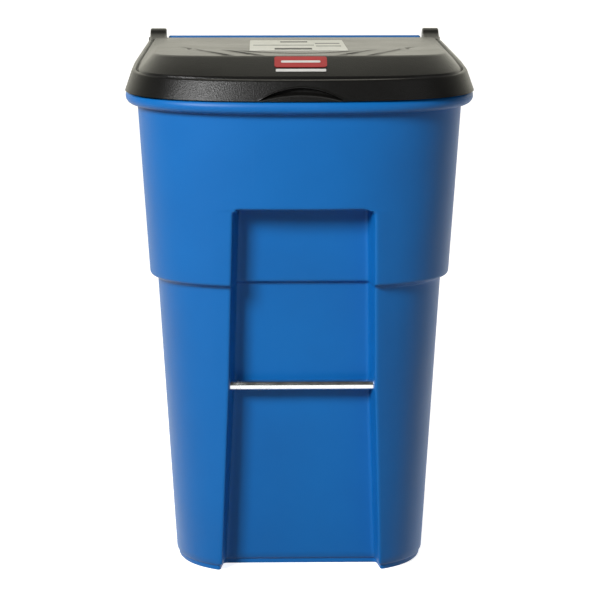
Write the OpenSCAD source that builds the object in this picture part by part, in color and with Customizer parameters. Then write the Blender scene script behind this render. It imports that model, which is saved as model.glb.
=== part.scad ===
// Two-wheeled waste container of about 190 litres with a hinged lid.
// Millimetres. +Z is up, the front faces -Y, and the origin is on the floor at the middle of the bounding box.

/* [Overall] */
// Width across the rim and the lid
overall_w = 600; // [590:1:610]
// Length from the lid's front edge to the back of the hinge knuckles
overall_l = 728; // [722:1:740]
// Height of the rim at the front
rim_z = 836; // [830:1:845]
// Rise of the rim and lid towards the back, per millimetre of length
rim_slope = 0.03; // [0.025:0.005:0.035]

/* [Body] */
// Wall thickness of the body
wall = 4; // [3.5:0.5:5]
// Width of the body at the floor
foot_w = 439; // [434:1:444]
// Width just above the shoulder step
waist_w = 523; // [519:1:527]
// Width just under the rim bead
neck_w = 559; // [556:1:561]
// Height of the shoulder step
shoulder_z = 517; // [505:1:530]
// How far the body steps in under the shoulder
shoulder_step = 13; // [11:1:14]
// Depth of the rounded front, from its middle to the flat sides
front_bow = 180; // [170:5:190]
// Squareness of the rounded front: 2 is an ellipse, larger is squarer
squareness = 2.65; // [2.4:0.05:3]

/* [Lift pocket] */
// Height of the pocket's top edge
pocket_z = 645; // [640:1:650]
// Half width of the pocket's opening at the top
pocket_half = 119; // [116:1:122]
// Height of the lift bar's centre
bar_z = 335; // [330:1:345]
// Diameter of the lift bar
bar_d = 17.2; // [16:0.1:19]

/* [Lid] */
// Thickness of the lid
lid_wall = 5; // [4:0.5:5.5]
// Height of the lid's skirt
skirt_h = 34; // [32:1:36]
// Rise of the dome over the flange at the front
dome_rise = 33; // [28:1:34]

/* [Hinge and handle] */
// Height of the hinge axis
hinge_z = 878; // [876:1:880]
// Radius of the lid's hinge knuckles
knuckle_r = 27; // [25:1:28]
// Radius of the handle bar
handle_r = 13; // [12:0.5:14]
// Radius of the hinge pins
pin_r = 7; // [6:0.5:8]

/* [Wheels] */
// Wheel diameter over the tyre
wheel_d = 254; // [250:1:256]
// Width of the tyre
wheel_w = 45; // [40:1:46]
// Axle diameter
axle_d = 15.9; // [15:0.1:16]
// Distance from the middle to the outer face of each tyre
wheel_out = 222; // [220:1:224]

/* [Hidden] */
$fn = 72;

front_y = -overall_l / 2;
hinge_y = overall_l / 2 - knuckle_r;
fit = 0.1;                 // radial clearance of every running fit
gap = 0.3;                 // side clearance between pieces that turn past each other

// Body heights. Setbacks are measured back from the lid's front edge.
base_ring_h = 8;           // height of the foot ring and of the hollow under the base
base_ring_in = 3;          // how far the foot ring is set in
foot_ring_w = 12;          // width of the foot ring's sole
bead_r = 12;               // radius of the rim bead
bead_out = 20;             // how far the rim bead stands out from the wall
neck_z = rim_z - 2 * bead_r;
step_h = 5;                // height of the shoulder's underside
ceiling_h = 3;             // slope of the pocket's ceiling
narrowing = 0.03;          // share of its width that the rim loses towards the back
narrow_from = 200;         // setbacks between which it narrows
narrow_to = 610;
rear_corner_r = 50;

side_half = [
    [0, foot_w / 2], [shoulder_z - step_h, waist_w / 2 - shoulder_step],
    [shoulder_z, waist_w / 2], [neck_z, neck_w / 2]
];
front_setback = [[0, 72], [shoulder_z - step_h, 48], [shoulder_z, 36], [neck_z, 20]];
rear_setback = [
    [0, 500], [60, 515], [200, 575], [shoulder_z - step_h, 592], [shoulder_z, 605], [neck_z, 622]
];
pocket_w = [[0, pocket_half + 17], [bar_z, pocket_half + 5], [pocket_z, pocket_half]];
floor_w = [[0, pocket_half + 13], [bar_z, pocket_half - 2], [pocket_z, pocket_half - 8]];
floor_setback = [[0, 135], [shoulder_z - step_h, 102], [shoulder_z, 92], [pocket_z, 84]];

arc_steps = 9;             // points along each side of the rounded front
corner_steps = 5;          // points round each rear corner

// Lift bar and its caps
bar_y = front_y + 91;
bar_reach = 137;           // from the middle to each end of the bar
cap_wall = 2.5;

// Lid: heights are of the flange's top face at the lid's front edge
flange_z = rim_z + skirt_h - 1;
skirt_gap = 1;             // the skirt's edge clears the rim bead by this much
plateau_z = flange_z + dome_rise + 3;
plateau_slope = -0.023;
flange_half = overall_w / 2 - 12;
dome_half = flange_half - 17;
plateau_half = dome_half - 20;
lid_rear = 660;
dome_front = 34;
plateau_front = 98;
plateau_bow = 130;
plateau_square = 5;
lid_corner_r = 38;

// Hinge, knuckles and handle
handle_half = 244;
knuckle_in = handle_half + 4;
knuckle_out = knuckle_in + 31;
pin_depth = 34;
pin_head_r = 11;
pin_head_t = 3;
rib_t = 22;
upstand_setback = 638;
upstand_t = 5;
upstand_z = 872;

// Running gear
axle_y = front_y + 572;
axle_z = wheel_d / 2;
well_r = wheel_d / 2 + 12;
well_x = wheel_out - wheel_w - 10;
lug_r = 18;
lug_t = 12;
lug_places = [-154, -77, 0, 77, 154];
hub_in = wheel_out - wheel_w - 2;
hub_out = wheel_out + 2;
hub_bore_r = axle_d / 2 + 3;
washer_t = 2;
axle_half = hub_out + washer_t + 7;

// ---- Outlines and lofts ----

// Setback of the rounded front at x, for a front of half width a, bow b and squareness n
function bow_at(x, a, b, n) = b * (1 - pow(1 - pow(min(abs(x) / a, 1), n), 1 / n));

// Points of the rounded front from x outwards to the flat side
function bow_points(x, a, b, n) =
    let (start = asin(pow(x / a, n / 2)))
    [for (i = [1:arc_steps]) let (t = start + (90 - start) * i / arc_steps)
        [a * pow(sin(t), 2 / n), b * (1 - pow(cos(t), 2 / n))]];

// Closed outline from the front's middle anticlockwise. Its front middle is level with the pocket's floor
// where floor_y is given, and follows the bow elsewhere.
function outline(a, b, front, rear, corner, half_open, half_floor, floor_y, n = squareness) =
    let (
        middle = [for (x = [0, half_floor / 2, half_floor])
            [x, is_undef(floor_y) ? front + bow_at(x, a, b, n) : floor_y]],
        edge = [half_open, front + bow_at(half_open, a, b, n)],
        bow = [for (p = bow_points(half_open, a, b, n)) [p[0], front + p[1]]],
        turn = [for (i = [0:corner_steps]) let (t = 90 * i / corner_steps)
            [a - corner + corner * cos(t), rear - corner + corner * sin(t)]],
        right = concat(middle, [edge], bow, turn)
    )
    concat(right, [for (i = [len(right) - 1:-1:1]) [-right[i][0], right[i][1]]]);

// Narrows an outline towards the back, by narrowing at the lid's rear corners
function narrowed(points) = [for (p = points)
    let (share = min(max((p[1] - front_y - narrow_from) / (narrow_to - narrow_from), 0), 1))
    [p[0] * (1 - narrowing * share), p[1]]];

// Lifts an outline to a plane that is z high at the front and rises with slope
function ring(points, z, slope = 0) = [for (p = points) [p[0], p[1], z + slope * (p[1] - front_y)]];

function mean(points) = [for (k = [0:2]) (min([for (p = points) p[k]]) + max([for (p = points) p[k]])) / 2];

// A closed solid through rings that all have the same number of points
module loft(rings) {
    n = len(rings[0]);
    m = len(rings);
    points = concat([for (r = rings) each r], [mean(rings[0]), mean(rings[m - 1])]);
    sides = [for (j = [0:m - 2]) for (i = [0:n - 1]) let (k = (i + 1) % n, lo = j * n, hi = lo + n)
        each [[lo + i, hi + i, hi + k], [lo + i, hi + k, lo + k]]];
    first_cap = [for (i = [0:n - 1]) [n * m, i, (i + 1) % n]];
    last_cap = [for (i = [0:n - 1]) [n * m + 1, (m - 1) * n + (i + 1) % n, (m - 1) * n + i]];
    polyhedron(points = points, faces = concat(first_cap, sides, last_cap));
}

module along_x(x = 0) {
    translate([x, 0, 0]) rotate([90, 0, 90]) children();
}

module mirrored() {
    children();
    mirror([1, 0, 0]) children();
}

module on_side(side) {
    if (side < 0) mirror([1, 0, 0]) children();
    else children();
}

// ---- Body ----

// Body outline at a height of the outer wall, grown by d. pocket is true where the front pocket cuts in.
function body_outline(z, d, pocket) = outline(
    lookup(z, side_half) + d, front_bow + d, front_y + lookup(z, front_setback) - d,
    front_y + lookup(z, rear_setback) + d, rear_corner_r + d,
    lookup(z, pocket_w) - d, lookup(z, floor_w) - d,
    pocket ? front_y + lookup(z, floor_setback) - d : undef
);

function body_ring(z, d, pocket = true, rise = 0) = ring(body_outline(z, d, pocket), z + rise);

function rim_ring(z, d) = ring(narrowed(body_outline(neck_z, d, false)), z, rim_slope);

wall_heights = [bar_z, shoulder_z - step_h, shoulder_z, pocket_z];

function outer_wall() = concat(
    [
        body_ring(0, -base_ring_in - foot_ring_w),
        body_ring(0, -base_ring_in),
        body_ring(base_ring_h, -base_ring_in),
        body_ring(base_ring_h + 2, 0)
    ],
    [for (z = [60, 200]) body_ring(z, 0)],
    [for (z = wall_heights) body_ring(z, 0)]
);

module body_shell() {
    bead = [for (t = [-90:25:90]) rim_ring(
        neck_z + bead_r + bead_r * sin(t), bead_out - bead_r + bead_r * cos(t))];
    inner_heights = [for (i = [len(wall_heights) - 1:-1:0]) wall_heights[i]];
    loft(concat(
        [body_ring(base_ring_h, -base_ring_in - foot_ring_w - 2)],
        outer_wall(),
        [body_ring(pocket_z + ceiling_h, 0, false), rim_ring(neck_z, 0)],
        bead,
        [rim_ring(rim_z, -wall), body_ring(pocket_z + ceiling_h, -wall, false, wall)],
        [for (z = inner_heights) body_ring(z, -wall, true, wall)],
        [for (z = [200, 60, base_ring_h + 1]) body_ring(z, -wall, true, wall)]
    ));
}

// The lower body without its hollow, for closing the wheel wells
module lower_solid() {
    loft(outer_wall());
}

module well(grow) {
    translate([0, axle_y, axle_z]) along_x(well_x - grow)
        cylinder(r = well_r + grow, h = overall_w / 2);
}

module axle_lugs() {
    for (x = lug_places) translate([x - lug_t / 2, axle_y, axle_z]) along_x() difference() {
        linear_extrude(lug_t) {
            circle(r = lug_r);
            polygon([[0, lug_r], [-lug_r, 40], [-24, 50], [-24, 0], [-48, -60], [-30, -60], [-8, -16]]);
        }
        translate([0, 0, -1]) cylinder(r = axle_d / 2 + fit, h = lug_t + 2);
    }
}

module handle_rib(x, t) {
    back = upstand_setback + front_y + upstand_t - hinge_y;
    translate([x, hinge_y, hinge_z]) along_x() linear_extrude(t)
        polygon([
            [2, 10], [back - 2, -8], [back - 2, -30], [-62, -30], [-70, -110], [-68, -110],
            [back, -40], [-10, -12], [2, -12]
        ]);
}

module handle() {
    translate([0, hinge_y, hinge_z]) along_x(-handle_half) cylinder(r = handle_r, h = 2 * handle_half);
    handle_rib(-rib_t / 2, rib_t);
    mirrored() handle_rib(handle_half - rib_t, rib_t);
    translate([-handle_half, front_y + upstand_setback, hinge_z - 40])
        cube([2 * handle_half, upstand_t, upstand_z - hinge_z + 40]);
}

module hinge_bores() {
    mirrored() translate([0, hinge_y, hinge_z]) along_x(handle_half - pin_depth)
        cylinder(r = pin_r, h = pin_depth + 1);
}

module lift_bar_holes() {
    translate([0, bar_y, bar_z]) along_x(-bar_reach)
        cylinder(r = bar_d / 2 + fit, h = 2 * bar_reach);
}

module bin_body() {
    color([0.05, 0.36, 0.70]) difference() {
        union() {
            difference() {
                body_shell();
                mirrored() well(wall);
            }
            difference() {
                intersection() {
                    lower_solid();
                    union() mirrored() well(wall);
                }
                mirrored() well(0);
            }
            axle_lugs();
            handle();
        }
        hinge_bores();
        lift_bar_holes();
    }
}

// ---- Lid ----

function lid_outline(a, b, front, rear, corner, n = squareness) =
    narrowed(outline(a, b, front_y + front, front_y + rear, corner, 90, 60, undef, n));

function skirt_ring(z, a) = ring(
    lid_outline(a, front_bow, overall_w / 2 - a, lid_rear + a - overall_w / 2, lid_corner_r), z, rim_slope);

function dome_ring(d) = ring(
    lid_outline(dome_half - d, front_bow, dome_front + d, lid_rear - 17 - d, lid_corner_r), flange_z - d, rim_slope);

function plateau_ring(d) = ring(
    lid_outline(plateau_half - d, plateau_bow, plateau_front + d, lid_rear - 30 - d, 12, plateau_square),
    plateau_z - d, plateau_slope);

module lid_shell() {
    edge = rim_z - skirt_gap;
    outer_edge = overall_w / 2;
    loft([
        plateau_ring(lid_wall),
        dome_ring(lid_wall),
        skirt_ring(flange_z - lid_wall, flange_half - lid_wall),
        skirt_ring(edge, outer_edge - lid_wall),
        skirt_ring(edge, outer_edge),
        skirt_ring(flange_z - 3, flange_half + 1),
        skirt_ring(flange_z, flange_half - 2),
        dome_ring(0),
        plateau_ring(0)
    ]);
}

// The opening in the lid's back edge that clears the handle and its ribs
module lid_back_notch() {
    translate([-handle_half - 2, front_y + lid_rear - 23, rim_z])
        cube([2 * handle_half + 4, 43, hinge_z - rim_z + 1]);
}

module knuckle() {
    translate([0, hinge_y, hinge_z]) along_x(knuckle_in) difference() {
        linear_extrude(knuckle_out - knuckle_in) {
            circle(r = knuckle_r);
            polygon([[0, -knuckle_r], [-48, -18], [-62, -12], [-62, 9], [-42, 12], [-21, 17]]);
        }
        translate([0, 0, -1]) cylinder(r = pin_r + fit, h = knuckle_out - knuckle_in + 2);
    }
}

grip_half = 72;            // half width of the finger grip at the lid's edge
grip_rise = 21;            // height of its arch
grip_depth = 9;
grip_lip = 11;             // height of the lip left under it

module grip_block() {
    top = skirt_h - 6;
    lean = 12 * top / skirt_h;
    translate([-grip_half - 8, 0, 0]) rotate([90, 0, 90]) linear_extrude(2 * grip_half + 16) polygon([
        [front_y + 5, rim_z + 2], [front_y + 5 + lean, rim_z + top], [front_y + 21, rim_z + top],
        [front_y + 21, rim_z + 2]
    ]);
}

module grip_cut() {
    arch_r = (pow(grip_half, 2) + pow(grip_rise, 2)) / (2 * grip_rise);
    intersection() {
        translate([0, front_y - 1, rim_z + grip_rise - arch_r]) rotate([-90, 0, 0])
            cylinder(r = arch_r, h = grip_depth + 8, $fn = 96);
        translate([-grip_half, front_y - 1, rim_z + grip_lip])
            cube([2 * grip_half, grip_depth + 8, grip_rise]);
    }
}

module lid() {
    color([0.10, 0.10, 0.10]) difference() {
        union() {
            difference() {
                lid_shell();
                lid_back_notch();
            }
            grip_block();
            mirrored() knuckle();
        }
        grip_cut();
    }
}

sticker_t = 0.5;
sticker_gap = 0.25;        // stickers float this far over the shell, which keeps them clear of its facets

// A thin plate over the dome's front slope, from x -half to half, between two shares of the slope's height
module slope_sticker(half, low, high) {
    foot = front_y + dome_front;
    head = front_y + plateau_front;
    rise = plateau_z + plateau_slope * plateau_front - flange_z - rim_slope * dome_front;
    tilt = atan2(rise, head - foot);
    length = norm([rise, head - foot]);
    translate([0, foot, flange_z + rim_slope * dome_front]) rotate([tilt, 0, 0])
        translate([-half, low * length, sticker_gap]) cube([2 * half, (high - low) * length, sticker_t]);
}

module lid_badge() {
    color([0.78, 0.12, 0.14]) slope_sticker(45, 0.26, 0.86);
}

module lid_label() {
    label_front = 245;
    color([0.85, 0.85, 0.82])
        translate([0, front_y + label_front, plateau_z + plateau_slope * label_front])
            rotate([atan(plateau_slope), 0, 0])
                translate([-86, 0, sticker_gap]) cube([172, 300, sticker_t]);
}

module hinge_pin(side) {
    shank = handle_half - pin_depth + 1;
    color([0.12, 0.12, 0.12]) on_side(side) translate([0, hinge_y, hinge_z]) {
        along_x(shank) cylinder(r = pin_r, h = knuckle_out + gap - shank);
        along_x(knuckle_out + gap) cylinder(r1 = pin_head_r, r2 = pin_head_r - 1.5, h = pin_head_t);
    }
}

// ---- Lift bar ----

module lift_bar() {
    color([0.75, 0.76, 0.77]) translate([0, bar_y, bar_z]) along_x(-bar_reach) difference() {
        cylinder(r = bar_d / 2, h = 2 * bar_reach);
        translate([0, 0, -1]) cylinder(r = bar_d / 2 - 2, h = 2 * bar_reach + 2);
    }
}

module lift_bar_cap(side) {
    skirt = 8;
    color([0.15, 0.15, 0.15]) on_side(side) translate([0, bar_y, bar_z])
        along_x(bar_reach - skirt) difference() {
            cylinder(r = bar_d / 2 + cap_wall, h = skirt + cap_wall);
            translate([0, 0, -1]) cylinder(r = bar_d / 2, h = skirt + 1);
        }
}

// ---- Running gear ----

module axle() {
    color([0.70, 0.71, 0.72]) translate([0, axle_y, axle_z]) along_x(-axle_half)
        cylinder(r = axle_d / 2, h = 2 * axle_half);
}

rim_outer = wheel_d / 2 - 16;   // radius where the tyre sits on the wheel
rim_inner = rim_outer - 9;
hub_r = 24;
spokes = 8;

module wheel(side) {
    half = wheel_w / 2;
    middle = wheel_out - half;
    color([0.13, 0.13, 0.13]) on_side(side) translate([0, axle_y, axle_z]) difference() {
        union() {
            along_x(middle) rotate_extrude() polygon([
                [hub_bore_r, -half - 2], [hub_r, -half - 2], [hub_r + 2, -4], [rim_inner - 2, -4],
                [rim_inner, -half + 3], [rim_outer, -half + 3], [rim_outer, half - 3],
                [rim_inner, half - 3], [rim_inner - 2, 4], [hub_r + 2, 4], [hub_r, half + 2],
                [hub_bore_r, half + 2]
            ]);
            for (i = [0:spokes - 1]) rotate([i * 360 / spokes, 0, 0])
                translate([middle - half + 5, -3, hub_r - 2]) cube([wheel_w - 10, 6, rim_inner - hub_r + 4]);
        }
    }
}

module tyre(side) {
    half = wheel_w / 2;
    color([0.09, 0.09, 0.09]) on_side(side) translate([0, axle_y, axle_z])
        along_x(wheel_out - half) rotate_extrude($fn = 96) polygon([
            [rim_outer, -half + 2], [rim_outer + 7, -half], [wheel_d / 2 - 5, -half + 1],
            [wheel_d / 2 - 1, -half + 6], [wheel_d / 2, 0], [wheel_d / 2 - 1, half - 6],
            [wheel_d / 2 - 5, half - 1], [rim_outer + 7, half], [rim_outer, half - 2]
        ]);
}

bush_length = 14;
bush_flange_r = hub_bore_r + 4;
bush_flange_t = 1.5;

// A flanged bearing bush pressed into one end of the hub; end is 1 at the outer face and -1 at the inner
module bush(side, end) {
    face = end > 0 ? hub_out : hub_in;
    color([0.86, 0.86, 0.82]) on_side(side) translate([face, axle_y, axle_z])
        mirror([end > 0 ? 0 : 1, 0, 0]) difference() {
            union() {
                along_x(-bush_length) cylinder(r = hub_bore_r, h = bush_length);
                along_x(0) cylinder(r = bush_flange_r, h = bush_flange_t);
            }
            along_x(-bush_length - 1) cylinder(r = axle_d / 2 + fit, h = bush_length + bush_flange_t + 2);
        }
}

module axle_ring(side, x, t, r) {
    on_side(side) translate([0, axle_y, axle_z]) along_x(x) difference() {
        cylinder(r = r, h = t);
        translate([0, 0, -1]) cylinder(r = axle_d / 2, h = t + 2);
    }
}

module spacer(side) {
    start = lug_places[4] + lug_t / 2;
    color([0.15, 0.15, 0.15])
        axle_ring(side, start, hub_in - bush_flange_t - gap - start, axle_d / 2 + 3.5);
}

module washer(side) {
    color([0.72, 0.73, 0.74]) axle_ring(side, hub_out + bush_flange_t + gap, washer_t, bush_flange_r + 1);
}

module cap_nut(side) {
    start = hub_out + bush_flange_t + gap + washer_t;
    nut_r = axle_d / 2 + 6;
    color([0.70, 0.71, 0.72]) on_side(side) translate([0, axle_y, axle_z]) along_x(start)
        difference() {
            union() {
                cylinder(r = nut_r, h = 2);
                cylinder(r1 = nut_r - 2, r2 = nut_r - 5, h = axle_half - start + 1.5);
            }
            translate([0, 0, -1]) cylinder(r = axle_d / 2, h = axle_half - start + 1);
        }
}

bin_body();
lid();
lid_badge();
lid_label();
hinge_pin(-1);  // hinge_pin_left
hinge_pin(1);  // hinge_pin_right
lift_bar();
lift_bar_cap(-1);  // lift_bar_cap_left
lift_bar_cap(1);  // lift_bar_cap_right
axle();
wheel(-1);  // wheel_left
wheel(1);  // wheel_right
tyre(-1);  // tyre_left
tyre(1);  // tyre_right
bush(-1, -1);  // bush_inner_left
bush(1, -1);  // bush_inner_right
bush(-1, 1);  // bush_outer_left
bush(1, 1);  // bush_outer_right
spacer(-1);  // spacer_left
spacer(1);  // spacer_right
washer(-1);  // washer_left
washer(1);  // washer_right
cap_nut(-1);  // cap_nut_left
cap_nut(1);  // cap_nut_right
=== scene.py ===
"""Looks of a two-wheeled waste container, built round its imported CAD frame.

Shapes are worked out in millimetres in the row frame (front at -Y, +Z up) and written in metres.
Setbacks are distances back from the lid's front edge, and d grows an outline outwards.
"""

import math

import bpy
import numpy as np
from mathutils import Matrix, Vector
from mathutils.bvhtree import BVHTree


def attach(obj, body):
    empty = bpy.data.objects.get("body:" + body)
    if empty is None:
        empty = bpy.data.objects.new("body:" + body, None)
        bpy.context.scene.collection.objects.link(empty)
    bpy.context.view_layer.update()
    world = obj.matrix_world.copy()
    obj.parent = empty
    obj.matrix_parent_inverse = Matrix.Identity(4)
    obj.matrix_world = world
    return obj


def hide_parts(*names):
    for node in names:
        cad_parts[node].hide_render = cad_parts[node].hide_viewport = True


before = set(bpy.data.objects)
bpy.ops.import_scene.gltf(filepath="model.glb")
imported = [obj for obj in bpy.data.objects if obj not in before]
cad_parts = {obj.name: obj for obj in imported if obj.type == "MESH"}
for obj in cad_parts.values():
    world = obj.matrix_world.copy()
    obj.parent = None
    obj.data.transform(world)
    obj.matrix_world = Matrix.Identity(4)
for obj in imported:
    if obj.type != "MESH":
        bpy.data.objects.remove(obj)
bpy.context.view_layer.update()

MM = 0.001
FRONT = -364.0
SLOPE = 0.03  # rise of the rim and of the lid's flange towards the back
POWER = 2.65  # squareness of the tub's rounded front
RIM_Z = 836.0
NECK_Z = 812.0
SHOULDER_Z = 517
FOOT_TOP = 512  # height over which the lower wall's slopes are given
POCKET_Z = 646.0  # top of the front pocket
POCKET_LEVELS = [0, 335, 646]  # foot, lift bar and top of the front pocket
CEILING = 57  # how deep the pocket is at its top
HINGE_Y, HINGE_Z = 337.0, 878.0
HANDLE_HALF = 244
AXLE_Y, AXLE_Z = 208.0, 127.0
LID_EDGE_Z = 835  # skirt's lower edge at the front
LID_TOP_Z = 905.2
TOP_SLOPE = -0.022  # fall of the lid's flat top towards the back
GRIP_HALF = 72  # half width of the finger grip
SKIRT_ROWS = 61
WHEEL_MID = 199.5  # middle of each wheel, out from the middle of the container
SPOKES = 8
SMOOTH_ANGLE = 38  # edges sharper than this stay sharp, in degrees
BEVEL_ANGLE = 40


# ---- Mesh helpers ----


def make_object(name, points, faces, material, sharp=SMOOTH_ANGLE):
    mesh = bpy.data.meshes.new(name)
    mesh.from_pydata([tuple(float(c) * MM for c in p) for p in points], [], faces)
    mesh.validate()
    mesh.update()
    obj = bpy.data.objects.new(name, mesh)
    bpy.context.scene.collection.objects.link(obj)
    obj.data.materials.append(material)
    smooth(obj, sharp)
    return obj


def smooth(obj, sharp=SMOOTH_ANGLE):
    mesh = obj.data
    mesh.polygons.foreach_set("use_smooth", [True] * len(mesh.polygons))
    mesh.set_sharp_from_angle(angle=math.radians(sharp))


def applied(obj):
    """Bakes an object's modifiers into its mesh."""
    bpy.context.view_layer.update()
    depsgraph = bpy.context.evaluated_depsgraph_get()
    mesh = bpy.data.meshes.new_from_object(obj.evaluated_get(depsgraph))
    obj.modifiers.clear()
    old = obj.data
    obj.data = mesh
    bpy.data.meshes.remove(old)
    return obj


def boolean(obj, cutter, operation):
    mod = obj.modifiers.new("cut", "BOOLEAN")
    mod.operation = operation
    mod.solver = "EXACT"
    mod.object = cutter
    return applied(obj)


def drop(*objs):
    for o in objs:
        bpy.data.objects.remove(o)


def bevelled(obj, width, segments=3):
    """Rounds every edge sharper than BEVEL_ANGLE."""
    mod = obj.modifiers.new("bevel", "BEVEL")
    mod.width = width * MM
    mod.segments = segments
    mod.limit_method = "ANGLE"
    mod.angle_limit = math.radians(BEVEL_ANGLE)
    mod.harden_normals = False
    applied(obj)
    smooth(obj)
    return obj


def joined(name, objs):
    """Joins objects into the first one, and renames it."""
    bpy.ops.object.select_all(action="DESELECT")
    for o in objs:
        o.select_set(True)
    bpy.context.view_layer.objects.active = objs[0]
    bpy.ops.object.join()
    objs[0].name = name
    objs[0].data.name = name
    return objs[0]


def skin(rings):
    """Points and faces of the closed surface through closed rings of equal length."""
    n = len(rings[0])
    points = np.concatenate(rings)
    faces = []
    for j in range(len(rings) - 1):
        lo, hi = j * n, (j + 1) * n
        for i in range(n):
            k = (i + 1) % n
            faces.append((lo + i, lo + k, hi + k, hi + i))
    faces.append(tuple(range(n - 1, -1, -1)))
    last = (len(rings) - 1) * n
    faces.append(tuple(last + i for i in range(n)))
    return points, faces


def extruded(name, outline, x0, x1, material, at=(0, 0), bevel=1.5, segments=3):
    """A plate whose outline is in Y and Z round the point at, and which runs from x0 to x1."""
    n = len(outline)
    points = [(x, y + at[0], z + at[1]) for x in (x0, x1) for y, z in outline]
    faces = [tuple(range(n - 1, -1, -1)), tuple(range(n, 2 * n))]
    faces += [(i, (i + 1) % n, n + (i + 1) % n, n + i) for i in range(n)]
    obj = make_object(name, points, faces, material)
    return bevelled(obj, bevel, segments) if bevel else obj


def turned(name, profile, x_mid, side, material, centre, steps, closed=True):
    """A lathed piece about the X axis. The profile is (radius, offset along X) points."""
    angles = np.linspace(0, 2 * math.pi, steps, endpoint=False)
    points = np.array(
        [
            (side * (x_mid + w), centre[0] + r * math.cos(a), centre[1] + r * math.sin(a))
            for a in angles
            for r, w in profile
        ]
    )
    m = len(profile)
    faces = []
    spans = m if closed else m - 1
    for j in range(steps):
        k = (j + 1) % steps
        for i in range(spans):
            h = (i + 1) % m
            quad = (j * m + i, j * m + h, k * m + h, k * m + i)
            faces.append(quad if side > 0 else quad[::-1])
    return make_object(name, points, faces, material)


def bezier(a, b, c, count):
    """Points on the curve from a to c that bends round b, both ends included."""
    t = np.linspace(0, 1, count)[:, None]
    a, b, c = (np.asarray(p, float) for p in (a, b, c))
    return (1 - t) ** 2 * a + 2 * t * (1 - t) * b + t**2 * c


def filleted(points, radii, steps=6):
    """An open polyline with its inner corners rounded. radii has one cut-back length per point."""
    pts = [np.asarray(p, float) for p in points]
    out = [pts[0]]
    for i in range(1, len(pts) - 1):
        p, r = pts[i], radii[i]
        if r <= 0:
            out.append(p)
            continue
        back, ahead = pts[i - 1] - p, pts[i + 1] - p
        b_len, a_len = np.linalg.norm(back), np.linalg.norm(ahead)
        out.extend(
            bezier(
                p + back / b_len * min(r, b_len * 0.49),
                p,
                p + ahead / a_len * min(r, a_len * 0.49),
                steps,
            )
        )
    out.append(pts[-1])
    return np.array(out)


def refined(path, steps):
    """The polyline with each span longer than its share of steps cut into equal parts."""
    path = np.asarray(path, float)
    out = [path[0]]
    for a, b in zip(path[:-1], path[1:]):
        n = max(1, int(math.ceil(np.linalg.norm((b - a)[:3]) / steps)))
        for i in range(1, n + 1):
            out.append(a + (b - a) * i / n)
    return np.array(out)


def bow(x, half, depth, power):
    u = np.clip(np.abs(x) / half, 0, 1)
    return depth * (1 - (1 - u**power) ** (1 / power))


def narrowed(ring, share=1.0):
    """Narrows a ring towards the back by up to 3 %, as the rim and the lid do."""
    back = np.clip((ring[:, 1] - FRONT - 290) / 320, 0, 1)
    ring[:, 0] *= 1 - 0.03 * share * back
    return ring


def mirrored_ring(right):
    """The whole closed outline from its right half, which runs from the front middle to the rear middle."""
    left = right[-2:0:-1] * np.array([-1, 1])
    return np.concatenate([right, left])


# ---- Materials ----


def node_material(name):
    material = bpy.data.materials.new(name)
    material.use_nodes = True
    tree = material.node_tree
    return material, tree, tree.nodes["Principled BSDF"]


def add(tree, kind, **values):
    node = tree.nodes.new(kind)
    for key, value in values.items():
        if key in node.inputs:
            node.inputs[key].default_value = value
        else:
            setattr(node, key, value)
    return node


def noise(tree, coords, scale, detail=3.0, rough=0.5):
    node = add(tree, "ShaderNodeTexNoise", Scale=scale, Detail=detail, Roughness=rough, Distortion=0.0)
    tree.links.new(coords, node.inputs["Vector"])
    return node.outputs["Fac"]


def mapped(tree, scale=(1, 1, 1)):
    """The object's own coordinates, scaled."""
    coords = add(tree, "ShaderNodeTexCoord")
    mapping = add(tree, "ShaderNodeMapping")
    mapping.inputs["Scale"].default_value = scale
    tree.links.new(coords.outputs["Object"], mapping.inputs["Vector"])
    return mapping.outputs["Vector"]


def spread(tree, value, low_in, high_in, low_out, high_out):
    """Maps a range of a value to another range, and holds it at the ends."""
    node = add(tree, "ShaderNodeMapRange")
    numbers = (low_in, high_in, low_out, high_out)
    for key, number in zip(("From Min", "From Max", "To Min", "To Max"), numbers):
        node.inputs[key].default_value = number
    tree.links.new(value, node.inputs["Value"])
    return node.outputs["Result"]


def colour_mix(tree, fac, a, b):
    """Mixes two colours, each a tuple or a socket, by a socket."""
    node = add(tree, "ShaderNodeMix", data_type="RGBA", blend_type="MIX")
    for socket, value in ((node.inputs[6], a), (node.inputs[7], b)):
        if isinstance(value, tuple):
            socket.default_value = (*value, 1)
        else:
            tree.links.new(value, socket)
    tree.links.new(fac, node.inputs[0])
    return node.outputs[2]


def math_node(tree, op, a, b):
    node = add(tree, "ShaderNodeMath", operation=op)
    for socket, value in zip(node.inputs, (a, b)):
        if isinstance(value, (int, float)):
            socket.default_value = value
        else:
            tree.links.new(value, socket)
    return node.outputs[0]


def bump(tree, shader, height, strength, distance, under=None):
    node = add(tree, "ShaderNodeBump", Strength=strength, Distance=distance)
    tree.links.new(height, node.inputs["Height"])
    if under is not None:
        tree.links.new(under, node.inputs["Normal"])
    tree.links.new(node.outputs["Normal"], shader.inputs["Normal"])
    return node.outputs["Normal"]


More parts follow.
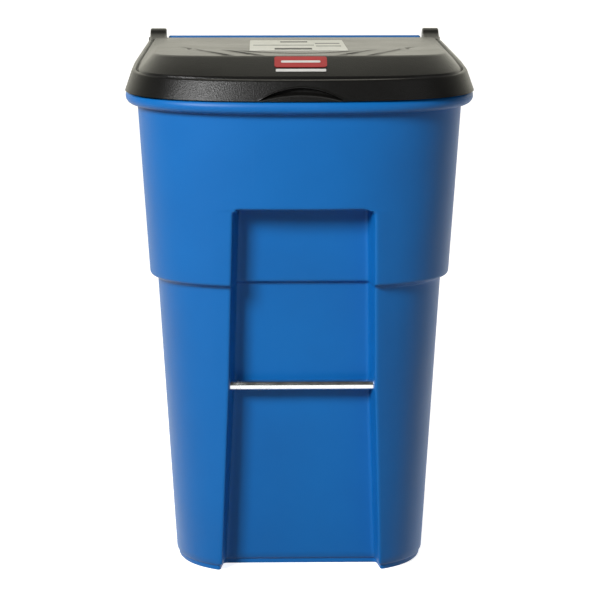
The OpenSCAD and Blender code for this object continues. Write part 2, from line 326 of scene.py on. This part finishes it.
def tub_material():
    """Satin blue polyethylene: a fine moulded grain, slow colour drift, and faint upright scuffs."""
    material, tree, shader = node_material("tub_plastic")
    coords = mapped(tree)
    cloud = noise(tree, coords, 5.0, 4.0)
    speck = noise(tree, coords, 900.0, 2.0)
    scuff = noise(tree, mapped(tree, (60, 60, 3.5)), 1.0, 5.0, 0.65)
    drift = spread(tree, cloud, 0.35, 0.65, 0, 1)
    base = colour_mix(tree, drift, (0.0010, 0.130, 0.430), (0.0020, 0.145, 0.470))
    scuffed = colour_mix(tree, spread(tree, scuff, 0.62, 0.85, 0, 0.16), base, (0.02, 0.17, 0.50))
    final = colour_mix(tree, spread(tree, speck, 0.55, 0.8, 0, 0.10), scuffed, (0.012, 0.16, 0.50))
    tree.links.new(final, shader.inputs["Base Color"])
    rough = math_node(
        tree, "ADD", spread(tree, cloud, 0.3, 0.7, 0.40, 0.47), spread(tree, scuff, 0.6, 0.85, 0, 0.10)
    )
    tree.links.new(rough, shader.inputs["Roughness"])
    shader.inputs["IOR"].default_value = 1.5
    shader.inputs["Specular IOR Level"].default_value = 0.26
    grain = bump(tree, shader, noise(tree, coords, 1400.0, 3.0), 0.10, 0.0006)
    bump(tree, shader, noise(tree, coords, 14.0, 2.0), 0.16, 0.004, grain)
    return material


def lid_material():
    """Black polyethylene with a pebbled moulded skin."""
    material, tree, shader = node_material("lid_plastic")
    coords = mapped(tree)
    pebble = add(tree, "ShaderNodeTexVoronoi", Scale=560.0, feature="F1")
    tree.links.new(coords, pebble.inputs["Vector"])
    cloud = noise(tree, coords, 9.0, 4.0)
    drift = spread(tree, cloud, 0.3, 0.7, 0, 1)
    base = colour_mix(tree, drift, (0.0045, 0.0044, 0.0040), (0.0080, 0.0077, 0.0070))
    speck = spread(tree, noise(tree, coords, 700.0, 2.0), 0.58, 0.78, 0, 0.14)
    dust = colour_mix(tree, speck, base, (0.045, 0.043, 0.038))
    tree.links.new(dust, shader.inputs["Base Color"])
    tree.links.new(spread(tree, cloud, 0.3, 0.7, 0.30, 0.36), shader.inputs["Roughness"])
    shader.inputs["IOR"].default_value = 1.5
    shader.inputs["Specular IOR Level"].default_value = 0.22
    first = bump(tree, shader, pebble.outputs["Distance"], 0.26, 0.0010)
    bump(tree, shader, noise(tree, coords, 12.0, 2.0), 0.12, 0.004, first)
    return material


def metal_material(name, colour, rough, grain_scale, dirt=0.35):
    """Zinc-plated steel: drawn lines along X, spangle, and dull patches."""
    material, tree, shader = node_material(name)
    coords = mapped(tree)
    spangle = add(tree, "ShaderNodeTexVoronoi", Scale=260.0, feature="F1")
    tree.links.new(coords, spangle.inputs["Vector"])
    drawn = noise(tree, mapped(tree, (8, 1400, 1400)), 1.0, 3.0)
    patch = noise(tree, coords, 45.0, 4.0)
    dull = tuple(c * 0.62 for c in colour)
    base = colour_mix(tree, spread(tree, patch, 0.45, 0.75, 0, dirt), colour, dull)
    tree.links.new(base, shader.inputs["Base Color"])
    shader.inputs["Metallic"].default_value = 1.0
    tree.links.new(
        math_node(tree, "ADD", spread(tree, patch, 0.3, 0.8, rough, rough + 0.16),
                  spread(tree, spangle.outputs["Color"], 0, 1, 0, 0.07)),
        shader.inputs["Roughness"],
    )
    bump(tree, shader, drawn, grain_scale, 0.0002)
    return material


def plastic_material(name, dark, light, rough, scale=300.0, strength=0.15, depth=0.0006):
    """Plain moulded plastic or rubber with a fine grain and uneven shine."""
    material, tree, shader = node_material(name)
    coords = mapped(tree)
    cloud = noise(tree, coords, 16.0, 4.0)
    grain = noise(tree, coords, scale, 3.0)
    base = colour_mix(tree, spread(tree, cloud, 0.35, 0.68, 0, 1), dark, light)
    worn = colour_mix(
        tree, spread(tree, grain, 0.6, 0.8, 0, 0.22), base, tuple(min(1, c * 2.2 + 0.01) for c in light)
    )
    tree.links.new(worn, shader.inputs["Base Color"])
    tree.links.new(spread(tree, cloud, 0.3, 0.7, rough - 0.06, rough + 0.08), shader.inputs["Roughness"])
    bump(tree, shader, grain, strength, depth)
    return material


def label_material():
    """An off-white printed sheet, with a few plain grey bars in place of its wording."""
    material, tree, shader = node_material("label_print")
    coords = add(tree, "ShaderNodeTexCoord")
    split = add(tree, "ShaderNodeSeparateXYZ")
    tree.links.new(coords.outputs["Object"], split.inputs[0])
    x, y = split.outputs[0], split.outputs[1]
    fibre = spread(tree, noise(tree, mapped(tree), 120.0, 4.0), 0.3, 0.7, 0, 1)
    colour = colour_mix(tree, fibre, (0.62, 0.62, 0.56), (0.74, 0.74, 0.68))
    bars = [  # x0, x1, y0, y1 in metres, and grey
        (-0.030, 0.020, 0.108, 0.142, 0.05),
        (-0.080, 0.030, 0.014, 0.030, 0.04),
        (0.033, 0.078, 0.060, 0.088, 0.16),
        (0.033, 0.078, -0.018, 0.006, 0.16),
        (-0.042, 0.024, -0.112, -0.062, 0.02),
    ]
    for x0, x1, y0, y1, grey in bars:
        inside = math_node(tree, "GREATER_THAN", x, x0)
        for op, value, limit in (("LESS_THAN", x, x1), ("GREATER_THAN", y, y0), ("LESS_THAN", y, y1)):
            inside = math_node(tree, "MULTIPLY", inside, math_node(tree, op, value, limit))
        colour = colour_mix(tree, inside, colour, (grey, grey, grey * 0.94))
    tree.links.new(colour, shader.inputs["Base Color"])
    gloss = spread(tree, noise(tree, mapped(tree), 60.0, 3.0), 0.3, 0.7, 0.50, 0.62)
    tree.links.new(gloss, shader.inputs["Roughness"])
    shader.inputs["Specular IOR Level"].default_value = 0.25
    bump(tree, shader, noise(tree, mapped(tree), 30.0, 3.0), 0.10, 0.001)
    return material


tub_plastic = tub_material()
lid_plastic = lid_material()
zinc_bar = metal_material("zinc_bar", (0.70, 0.71, 0.70), 0.12, 0.12)
zinc_axle = metal_material("zinc_axle", (0.55, 0.56, 0.57), 0.30, 0.35, 0.6)
wheel_plastic = plastic_material("wheel_plastic", (0.012, 0.012, 0.013), (0.024, 0.024, 0.025), 0.46)
tyre_rubber = plastic_material(
    "tyre_rubber", (0.010, 0.010, 0.010), (0.026, 0.025, 0.023), 0.78, 220.0, 0.35, 0.001
)
pin_nylon = plastic_material("pin_nylon", (0.010, 0.010, 0.011), (0.020, 0.020, 0.021), 0.38)
bush_acetal = plastic_material("bush_acetal", (0.55, 0.54, 0.50), (0.66, 0.65, 0.60), 0.40)
badge_red = plastic_material("badge_red", (0.31, 0.008, 0.012), (0.39, 0.013, 0.016), 0.34, 500.0, 0.06)
badge_pale = plastic_material("badge_pale", (0.55, 0.54, 0.52), (0.68, 0.67, 0.65), 0.40, 500.0, 0.06)
label_print = label_material()


# ---- Tub ----

REAR = ([0, 60, 200, FOOT_TOP], [500, 515, 575, 592])  # heights, and the lower back wall's setbacks


def rear_low(z):
    return float(np.mean(np.interp(z + np.linspace(-20, 20, 9), *REAR)))


def tub_sizes(z, step):
    """Half width, front and rear setbacks, and the pocket floor's setback.

    step is 0 under the shoulder and 1 over it.
    """
    share = z / FOOT_TOP
    low = np.array([220.5 + 29 * share, 68 - 20 * share, rear_low(z), 135 - 33 * share])
    up = (z - SHOULDER_Z) / 295
    high = np.array([262.3 + 18 * up, 36 - 16 * up, 605 + 17 * up, 92 - 8 * (z - SHOULDER_Z) / 129])
    return low * (1 - step) + high * step


def tub_ring(z, step, pocket, d, lift=0.0, tilt=0.0):
    """One closed ring of the tub.

    pocket is 1 where the front pocket has its full depth and 0 over it. tilt is 1 where the ring
    rises towards the back with the rim, and 0 where it is level.
    """
    half, front, rear, floor_y = tub_sizes(z, step)
    rounding = 0.0
    corner_r = 7.0  # of the pocket's two top corners
    if z > POCKET_Z - corner_r:
        into = min(corner_r, z - POCKET_Z + corner_r)
        rounding = corner_r - math.sqrt(max(0.0, corner_r**2 - into**2))
    half, depth, corner = half + d, 180 + d, 50 + d
    front, rear, floor_y = FRONT + front - d, FRONT + rear + d, FRONT + floor_y - d
    mouth = float(np.interp(z, POCKET_LEVELS, [138, 126, 120])) - d - rounding
    floor = float(np.interp(z, POCKET_LEVELS, [132, 118, 110.5])) - d - rounding

    def face(x):
        return front + bow(x, half, depth, POWER)

    edge = np.array([mouth, float(face(mouth))])
    inner = np.array([floor, floor_y])
    wall = (edge - inner) / np.linalg.norm(edge - inner)
    beyond = mouth + 6.0
    along = np.concatenate(
        [
            np.stack([np.linspace(0, floor - 8, 16), np.full(16, floor_y)], 1),
            bezier(inner - (8, 0), inner, inner + wall * 8, 7)[1:],
            (inner + wall * 8)
            + (edge - wall * 5 - inner - wall * 8) * np.linspace(0, 1, 6)[1:, None],
            bezier(edge - wall * 5, edge, (beyond, float(face(beyond))), 9)[1:],
        ]
    )
    plain = np.asarray(face(along[:, 0]))
    along[:, 1] = plain * (1 - pocket) + along[:, 1] * pocket
    start = math.asin((beyond / half) ** (POWER / 2))
    t = start + (math.pi / 2 - start) * np.linspace(0, 1, 49)[1:]
    rounded = np.stack(
        [half * np.sin(t) ** (2 / POWER), front + depth * (1 - np.clip(np.cos(t), 0, 1) ** (2 / POWER))], 1
    )
    side = np.stack([np.full(16, half), np.linspace(front + depth, rear - corner, 17)[1:]], 1)
    t = np.linspace(0, math.pi / 2, 13)[1:]
    turn = np.stack([half - corner + corner * np.cos(t), rear - corner + corner * np.sin(t)], 1)
    back = np.stack([np.linspace(half - corner, 0, 17)[1:], np.full(16, rear)], 1)
    ring = mirrored_ring(np.concatenate([along, rounded, side, turn, back]))
    lean = float(np.interp(z, POCKET_LEVELS, [0, 2.2, 4.6]))
    ring[:, 0] += lean * pocket * np.clip((mouth + 30 - np.abs(ring[:, 0])) / 24, 0, 1) * (ring[:, 1] < 0)
    heights = z + lift + tilt * SLOPE * (ring[:, 1] - FRONT)
    return narrowed(np.concatenate([ring, heights[:, None]], 1), tilt)


def tub_levels():
    """(z, step, pocket, tilt) of the wall from just over the foot to the neck."""
    levels = [(z, 0, 1, 0) for z in np.linspace(12, 500, 46)]
    shoulder = filleted([(0, 500), (0, FOOT_TOP), (13, SHOULDER_Z), (13, 532)], [0, 5, 4.5, 0], 7)
    levels += [(z, out / 13, 1, 0) for out, z in shoulder[1:]]
    levels += [(z, 1, 1, 0) for z in np.linspace(532, 628, 11)[1:]]
    ceiling = filleted([(CEILING, 628), (CEILING, POCKET_Z), (0, POCKET_Z + 3), (0, 662)], [0, 8, 5, 0], 9)
    levels += [(z, 1, out / CEILING, 0) for out, z in ceiling[1:]]
    levels += [(z, 1, 0, (z - 662) / (NECK_Z - 662)) for z in np.linspace(662, NECK_Z - 5, 16)[1:]]
    return levels


def build_tub():
    levels = tub_levels()
    foot = [(-17, 8.0), (-15.5, 0.8), (-14.5, 0), (-4, 0), (-3, 1), (-3, 7.5), (-1.2, 9.6), (-0.3, 10.6)]
    rings = [tub_ring(0, 0, 1, d, lift=z) for d, z in foot]
    rings += [tub_ring(z, step, pocket, 0, tilt=tilt) for z, step, pocket, tilt in levels]
    outer_count = len(rings)
    bead = [(0, NECK_Z - 5), (0, NECK_Z), (8, NECK_Z)]
    bead = list(filleted(bead, [0, 4.5, 0], 6)[1:])
    bead += [
        (8 + 12 * math.cos(t), NECK_Z + 12 + 12 * math.sin(t))
        for t in np.linspace(-math.pi / 2, math.pi / 2, 19)[1:]
    ]
    bead += [(0, RIM_Z), (-2.5, RIM_Z - 0.3), (-4, RIM_Z - 2), (-4, NECK_Z)]
    rings += [tub_ring(NECK_Z, 1, 0, d, lift=z - NECK_Z, tilt=1) for d, z in bead]
    for z, step, pocket, tilt in levels[::-1]:
        if z >= 30:
            lift = 4 if z < 700 else 4 * (NECK_Z - z) / 112
            rings.append(tub_ring(z, step, pocket, -4, lift=lift, tilt=tilt))
    rings += [tub_ring(14, 0, 1, d, lift=h) for d, h in ((-4.2, 8), (-5.5, 3), (-9, 0), (-14, -0.8))]
    points, faces = skin(rings)
    tub = make_object("tub_shell", points, faces, tub_plastic)

    low = [i for i in range(3, outer_count) if rings[i][0, 2] < 500]
    points, faces = skin([rings[i] for i in low])
    liner = make_object("liner", points, faces, tub_plastic)

    def well_tool(grow):
        tools = []
        for side in (-1, 1):
            r, x0, x1 = 139 + grow, 167 - grow, 330
            t = np.linspace(0, 2 * math.pi, 97)[:-1]
            outline = [(AXLE_Y + r * math.cos(a), AXLE_Z + r * math.sin(a)) for a in t]
            ends = sorted((side * x0, side * x1))
            tools.append(extruded("tool", outline, *ends, tub_plastic, bevel=0))
        return joined("well_tool", tools)

    wide, narrow = well_tool(4), well_tool(0)
    boolean(tub, wide, "DIFFERENCE")
    boolean(liner, wide, "INTERSECT")
    boolean(liner, narrow, "DIFFERENCE")
    drop(wide, narrow)
    return joined("tub", [tub, liner])


def arc(cy, cz, r, start, end, count):
    t = np.radians(np.linspace(start, end, count))
    return [(cy + r * math.cos(a), cz + r * math.sin(a)) for a in t]


def build_handle():
    """The push handle with its three ribs, and the upright flange that they stand on."""
    bar = turned(
        "bar",
        [(0.01, -HANDLE_HALF), (11, -HANDLE_HALF), (13, -242), (13, 0), (13, 242), (11, HANDLE_HALF),
         (0.01, HANDLE_HALF)],
        0, 1, tub_plastic, (HINGE_Y, HINGE_Z), 64, closed=False,
    )
    rib = [(3, 9), (-20, 5.5), (-45, -1), (-60, -6), (-61, -30), (-72, -112), (-66, -112), (-58, -62)]
    rib += [tuple(p) for p in bezier((-57, -52), (-54, -22), (-14, -12), 8)]
    rib += [(3, -11)]
    spans = ((-11, 11), (222, HANDLE_HALF), (-HANDLE_HALF, -222))
    parts = [bar] + [
        extruded("rib", rib, a, b, tub_plastic, (HINGE_Y, HINGE_Z), 2.2) for a, b in spans
    ]
    flange = [(274, 834), (279, 834), (279, 869), (277, 872), (274, 872)]
    parts.append(extruded("flange", flange, -HANDLE_HALF, HANDLE_HALF, tub_plastic, bevel=1.2))
    return joined("handle", parts)


def build_lugs():
    lug = arc(0, 0, 18, 95, -118, 26) + [(-28, -56), (-34, -62), (-52, -62), (-40, 0), (-30, 50), (-20, 42)]
    parts = [
        extruded("lug", lug, x - 6, x + 6, tub_plastic, (AXLE_Y, AXLE_Z), 1.5)
        for x in (-154, -77, 0, 77, 154)
    ]
    return joined("axle_lugs", parts)


# ---- Lid ----

# Rings of the lid as (half width, bow, front setback, rear setback, height, slope, squareness).
SKIRT_FOOT = (300, 180, 0, 660, LID_EDGE_Z, SLOPE, POWER)
SKIRT_TOP = (288.6, 180, 11.4, 648.6, 868.2, SLOPE, POWER)
FLANGE = (283, 180, 18, 646.5, 869.4, SLOPE, POWER)
GROOVE = (279.5, 178, 23.0, 645, 862.4, SLOPE, 3.3)
DOME_FOOT = (275, 176, 29, 643.5, 872.0, SLOPE, 3.8)
RIDGE = (253, 185, 90, 632, LID_TOP_Z, TOP_SLOPE, 5.2)
INSIDE = (228, 110, 128, 608, LID_TOP_Z, TOP_SLOPE, 5.0)


def lid_ring(values):
    half, depth, front, rear, z, slope, power = values
    front, rear = FRONT + front, FRONT + rear
    corner = max(half - 256, 6)
    near = np.linspace(0, 92, 47)
    near_y = front + bow(near, half, depth, power)
    start = math.asin((92 / half) ** (power / 2))
    t = start + (math.pi / 2 - start) * np.linspace(0, 1, 57)[1:]
    rounded = np.stack(
        [half * np.sin(t) ** (2 / power), front + depth * (1 - np.clip(np.cos(t), 0, 1) ** (2 / power))], 1
    )
    side = np.stack([np.full(50, half), np.linspace(front + depth, rear - corner, 51)[1:]], 1)
    t = np.linspace(0, math.pi / 2, 15)[1:-1]
    turn = np.stack([half - corner + corner * np.cos(t), rear - corner + corner * np.sin(t)], 1)
    across = np.concatenate([[half - corner, 246.3 / 0.97, 245.7 / 0.97], np.linspace(244, 0, 50)])
    across = np.minimum(across, half - corner - 0.2 * np.arange(len(across)))
    across[-1] = 0
    back = np.stack([across, np.full(len(across), rear)], 1)
    ring = mirrored_ring(np.concatenate([np.stack([near, near_y], 1), rounded, side, turn, back]))
    heights = z + slope * (ring[:, 1] - FRONT)
    return narrowed(np.concatenate([ring, heights[:, None]], 1))


def grip_depth(x, height):
    """How deep the finger grip goes into the skirt, at a height over the skirt's edge."""
    share = np.clip(1 - (x / GRIP_HALF) ** 2, 0, 1)
    under = np.clip((21.5 * share - height) / 1.2, 0, 1)
    over = np.clip((height - 10.5 * share) / (0.6 + 3.4 * share), 0, 1)
    brim = np.exp(-(((height - 21.5 * share - 1.2) / 1.1) ** 2)) * np.clip(share * 6, 0, 1)
    lip = np.exp(-(((height - 10.5 * share + 0.8) / 1.0) ** 2)) * np.clip(share * 6, 0, 1)
    return 10.0 * under * over * over * (3 - 2 * over) - 1.3 * brim - 1.2 * lip


CREASE_DEPTH, SMILE_DEPTH = 4.3, 3.3
CREASES = [  # half width and setback at each end of the shallow creases, outermost first
    ((212, 345), (122, 100)),
    ((137, 262), (70, 98)),
]


def furrow(away, depth):
    """Height of a V-shaped furrow with raised edges, at a distance from its line."""
    return 0.7 * np.exp(-(((away - 7.0) / 2.6) ** 2)) - depth * np.clip(1 - away / 5.0, 0, 1)


def crease(x, y, line):
    """Height of a furrow along a line, which fades towards its rear end."""
    (x0, y0), (x1, y1) = line
    ax, back = np.abs(x), y - FRONT
    dx, dy = x1 - x0, y1 - y0
    t = np.clip(((ax - x0) * dx + (back - y0) * dy) / (dx * dx + dy * dy), 0, 1)
    away = np.hypot(ax - x0 - t * dx, back - y0 - t * dy)
    return furrow(away, CREASE_DEPTH) * np.clip(t * 5, 0, 1)


def plateau_relief(x, y):
    """Height added to the lid's flat top: shallow creases that run in towards the front."""
    relief = np.zeros_like(x)
    for line in CREASES:
        relief += crease(x, y, line)
    smile = FRONT + 150 + 0.0072 * x * x
    fade = np.clip((112 - np.abs(x)) / 30, 0, 1)
    return relief + furrow(np.abs(y - smile), SMILE_DEPTH) * fade


def build_lid():
    profile = [SKIRT_FOOT, SKIRT_TOP, FLANGE, GROOVE, DOME_FOOT, RIDGE, INSIDE]
    outer = filleted(profile, [0, 3.0, 1.6, 1.5, 3.5, 8, 0], 8)
    foot = np.array(SKIRT_FOOT)
    skirt = [foot + (outer[1] - foot) * t for t in np.linspace(0, 1, SKIRT_ROWS)]
    path = skirt + list(outer[2:-1])
    rings = [lid_ring(v) for v in path]
    for values, ring in zip(path, rings):
        groove = math.exp(-(((values[0] - GROOVE[0]) / 3) ** 2))
        ring[:, 2] += 3.5 * groove * np.clip((ring[:, 1] - FRONT - 110) / 70, 0, 1)
    for ring in rings[:SKIRT_ROWS]:
        edge = LID_EDGE_Z + SLOPE * (ring[:, 1] - FRONT)
        front_face = (np.abs(ring[:, 0]) < GRIP_HALF) & (ring[:, 1] < 0)
        ring[:, 1] += np.where(front_face, grip_depth(ring[:, 0], ring[:, 2] - edge), 0)
    last = rings[-1]
    top = []
    for share in np.linspace(1, 0.02, 150)[1:]:
        flat = last[:, :2] * share
        z = LID_TOP_Z + TOP_SLOPE * (flat[:, 1] - FRONT)
        z = z + plateau_relief(flat[:, 0], flat[:, 1])
        top.append(np.concatenate([flat, z[:, None]], 1))
    rings += top

    inner = [
        (248, 126, 100, 628, 899.8, TOP_SLOPE, 5.0),
        (270, 176, 32, 639.5, 864.5, SLOPE, POWER),
        (281, 180, 19, 642, 860.6, SLOPE, POWER),
        (284.6, 180, 15.4, 644.6, 859.5, SLOPE, POWER),
        (296, 180, 4, 656, LID_EDGE_Z, SLOPE, POWER),
    ]
    inner_rings = [lid_ring(v) for v in refined(inner, 6.0)]
    for ring in inner_rings:
        height = ring[:, 2] - LID_EDGE_Z - SLOPE * (ring[:, 1] - FRONT)
        front_face = (ring[:, 1] < 0) & (height < 29)
        behind = np.clip((82 - np.abs(ring[:, 0])) / 8, 0, 1) * np.clip((29 - height) / 5, 0, 1)
        behind *= np.clip((height - 2.0) / 2.5, 0, 1)
        ring[:, 1] += np.where(front_face, 10.5 * behind, 0)
    under = inner_rings[0]
    ceiling = []
    for share in (0.03, 0.3, 0.6, 0.85):
        flat = under[:, :2] * share
        z = 901 + TOP_SLOPE * (flat[:, 1] - FRONT)
        ceiling.append(np.concatenate([flat, z[:, None]], 1))
    rings = ceiling + inner_rings + rings
    for ring in rings:
        notch = (np.abs(ring[:, 0]) < 246) & (ring[:, 1] > FRONT + 626)
        ring[notch, 2] = np.maximum(ring[notch, 2], HINGE_Z + 1)
    points, faces = skin(rings)
    lid = make_object("lid_shell", points, faces, lid_plastic, 50)

    ear = arc(0, 0, 26.9, -95, 124, 40) + [tuple(p) for p in bezier((-19, 19), (-34, 12), (-60, 10), 8)]
    ear += [(-68, 8), (-68, -8), (-50, -18)]
    parts = [lid]
    for ends in ((248, 279), (-279, -248)):
        parts.append(extruded("ear", ear, *ends, lid_plastic, (HINGE_Y, HINGE_Z), 3.0, 5))
    return joined("lid_moulding", parts)


def surface_patch(name, tree, x0, x1, y0, y1, radius, lift, thick, material, step=3.0):
    """A thin sheet with round corners that follows the surface under it, lift over it."""
    corners = []
    left, right, low, high = x0 + radius, x1 - radius, y0 + radius, y1 - radius
    for cx, cy, a in ((right, high, 0), (left, high, 90), (left, low, 180), (right, low, 270)):
        t = np.radians(np.linspace(a, a + 90, 9))
        corners += [(cx + radius * math.cos(v), cy + radius * math.sin(v)) for v in t]
    edge = refined(corners + [corners[0]], step)[:-1]
    middle = np.array([(x0 + x1) / 2, (y0 + y1) / 2])
    rows = max(6, int(min(x1 - x0, y1 - y0) / step))
    rings = []
    for share in np.linspace(0.03, 1, rows):
        ring = []
        for p in middle + (edge - middle) * share:
            above = Vector((p[0] * MM, p[1] * MM, 1.2))
            spot, normal, _, _ = tree.ray_cast(above, Vector((0, 0, -1)))
            ring.append((np.array(spot) / MM, np.array(normal)))
        rings.append(ring)
    top = [np.array([s + n * (lift + thick) for s, n in ring]) for ring in rings]
    brim = [np.array([s + n * (lift + thick * 0.3) for s, n in rings[-1]])]
    foot = [np.array([s + n * lift for s, n in ring]) for ring in rings[::-1]]
    points, faces = skin(top + brim + foot)
    return make_object(name, points, faces, material, 60)


# ---- Wheels ----


def build_wheel(side):
    mid = WHEEL_MID
    name = "right" if side > 0 else "left"
    centre = (AXLE_Y, AXLE_Z)
    disc = filleted(
        [(10.95, -24.5), (24, -24.5), (26, -4), (100, -4), (102, -19.5), (111, -19.5), (111, 19.5),
         (102, 19.5), (100, 4), (26, 4), (24, 24.5), (10.95, 24.5)],
        [0, 2, 4, 4, 1.5, 1, 1, 1.5, 4, 4, 2, 0], 5,
    )
    parts = [turned("disc", disc, mid, side, wheel_plastic, centre, 128)]
    for i in range(SPOKES):
        a = 2 * math.pi * i / SPOKES
        c, s = math.cos(a), math.sin(a)
        outline = [(22, -3.2), (104, -2.4), (104, 2.4), (22, 3.2)]
        turned_outline = [(r * s + w * c, r * c - w * s) for r, w in outline]
        ends = sorted((side * (mid - 17), side * (mid + 17)))
        parts.append(extruded("spoke", turned_outline[::-1], *ends, wheel_plastic, centre, 1.4))
    hub = joined("wheel_disc_" + name, parts)
    tread = filleted(
        [(111, -20), (118, -22.4), (122.5, -21), (126, -17), (127, -11.5), (124.6, -10.8), (124.6, -8.4),
         (127, -7.6), (127, -1.4), (124.6, -0.8), (124.6, 0.8), (127, 1.4), (127, 7.6), (124.6, 8.4),
         (124.6, 10.8), (127, 11.5), (126, 17), (122.5, 21), (118, 22.4), (111, 20)],
        [0, 2.5, 2, 2] + [0.5] * 12 + [2, 2, 2.5, 0], 4,
    )
    tyre = turned("tyre_" + name, tread, mid, side, tyre_rubber, centre, 160)
    return hub, tyre


# ---- Assembly ----

tub = build_tub()
handle = build_handle()
lugs = build_lugs()
tub_moulding = joined("tub_moulding", [tub, handle, lugs])
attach(tub_moulding, "tub")
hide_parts("bin_body")

lid = build_lid()
bpy.context.view_layer.update()
lid_tree = BVHTree.FromObject(lid, bpy.context.evaluated_depsgraph_get())
badge = joined(
    "badge_plate",
    [
        surface_patch("badge_field", lid_tree, -44, 44, FRONT + 56, FRONT + 86, 5, 0.1, 0.9, badge_red),
        surface_patch(
            "badge_bar", lid_tree, -33, 33, FRONT + 68, FRONT + 74, 2, 1.05, 0.2, badge_pale, 2.0
        ),
        surface_patch(
            "badge_stripe", lid_tree, -42, 42, FRONT + 44, FRONT + 51, 1.5, 0.1, 0.5, badge_pale, 2.0
        ),
    ],
)
label = surface_patch(
    "label_sheet", lid_tree, -86, 86, FRONT + 230, FRONT + 545, 3, 0.05, 0.35, label_print, 6.0
)
for piece, node, finish in (
    (lid, "lid", "lid"),
    (badge, "lid_badge", "badge"),
    (label, "lid_label", "label"),
):
    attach(piece, "lid")
    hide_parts(node)

for side, name in ((-1, "left"), (1, "right")):
    disc, tyre = build_wheel(side)
    for piece, node, finish in ((disc, "wheel_" + name, "wheel"), (tyre, "tyre_" + name, "tyre")):
        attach(piece, name + "_wheel")
        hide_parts(node)

carried = {"lift_bar": zinc_bar, "axle": zinc_axle}
for name in ("left", "right"):
    carried["hinge_pin_" + name] = pin_nylon
    carried["lift_bar_cap_" + name] = pin_nylon
    carried["spacer_" + name] = pin_nylon
    carried["washer_" + name] = zinc_axle
    carried["cap_nut_" + name] = zinc_axle
    carried["bush_inner_" + name] = bush_acetal
    carried["bush_outer_" + name] = bush_acetal
for node, material in carried.items():
    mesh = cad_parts[node].data
    mesh.materials.clear()
    mesh.materials.append(material)


# ---- Floor, light and camera ----


def stage_floor():
    mesh = bpy.data.meshes.new("floor")
    mesh.from_pydata([(-40, -40, 0), (40, -40, 0), (40, 40, 0), (-40, 40, 0)], [], [(0, 1, 2, 3)])
    floor = bpy.data.objects.new("floor", mesh)
    bpy.context.scene.collection.objects.link(floor)
    material, tree, shader = node_material("pale_floor")
    patches = spread(tree, noise(tree, mapped(tree), 1.5, 3.0), 0.3, 0.7, 0, 1)
    tint = colour_mix(tree, patches, (0.80, 0.80, 0.80), (0.84, 0.84, 0.84))
    tree.links.new(tint, shader.inputs["Base Color"])
    shader.inputs["Roughness"].default_value = 0.9
    shader.inputs["Specular IOR Level"].default_value = 0.1
    shader.inputs["Emission Color"].default_value = (1, 1, 1, 1)
    shader.inputs["Emission Strength"].default_value = 0.84
    mesh.materials.append(material)
    floor.visible_diffuse = False


def area_light(name, place, target, size, power):
    light = bpy.data.lights.new(name, "AREA")
    light.shape = "RECTANGLE"
    light.size = light.size_y = size
    light.energy = power
    obj = bpy.data.objects.new(name, light)
    bpy.context.scene.collection.objects.link(obj)
    obj.location = place
    obj.rotation_euler = (Vector(target) - Vector(place)).to_track_quat("-Z", "Y").to_euler()


stage_floor()
world = bpy.data.worlds.new("studio")
world.use_nodes = True
sky = world.node_tree
direction = add(sky, "ShaderNodeSeparateXYZ")
sky.links.new(add(sky, "ShaderNodeTexCoord").outputs["Generated"], direction.inputs[0])
glow = spread(sky, direction.outputs[1], 0.1, 0.85, 0.0, 1.0)
tone = colour_mix(sky, glow, (0.06, 0.06, 0.06), (1.35, 1.32, 1.13))
sky.links.new(tone, sky.nodes["Background"].inputs["Color"])
bpy.context.scene.world = world
area_light("key", (-1.75, -2.55, 2.25), (0, 0, 0.75), 1.0, 130)
area_light("fill", (2.6, -2.8, 1.8), (0, 0, 0.6), 2.0, 15)
bpy.context.scene.view_settings.view_transform = "Standard"

AZIMUTH = math.radians(1.1)
DISTANCE, HEIGHT, PITCH = 3.838, 1.236, 0.1891
camera_data = bpy.data.cameras.new("camera")
camera_data.sensor_width = 36.0
camera_data.lens = 139.698
camera_data.clip_end = 200
camera_data.shift_x = -0.0025
camera = bpy.data.objects.new("camera", camera_data)
bpy.context.scene.collection.objects.link(camera)
camera.location = (
    -DISTANCE * math.sin(AZIMUTH),
    FRONT * MM - DISTANCE * math.cos(AZIMUTH),
    HEIGHT,
)
camera.rotation_euler = (math.pi / 2 - PITCH, 0, -AZIMUTH)
bpy.context.scene.camera = camera
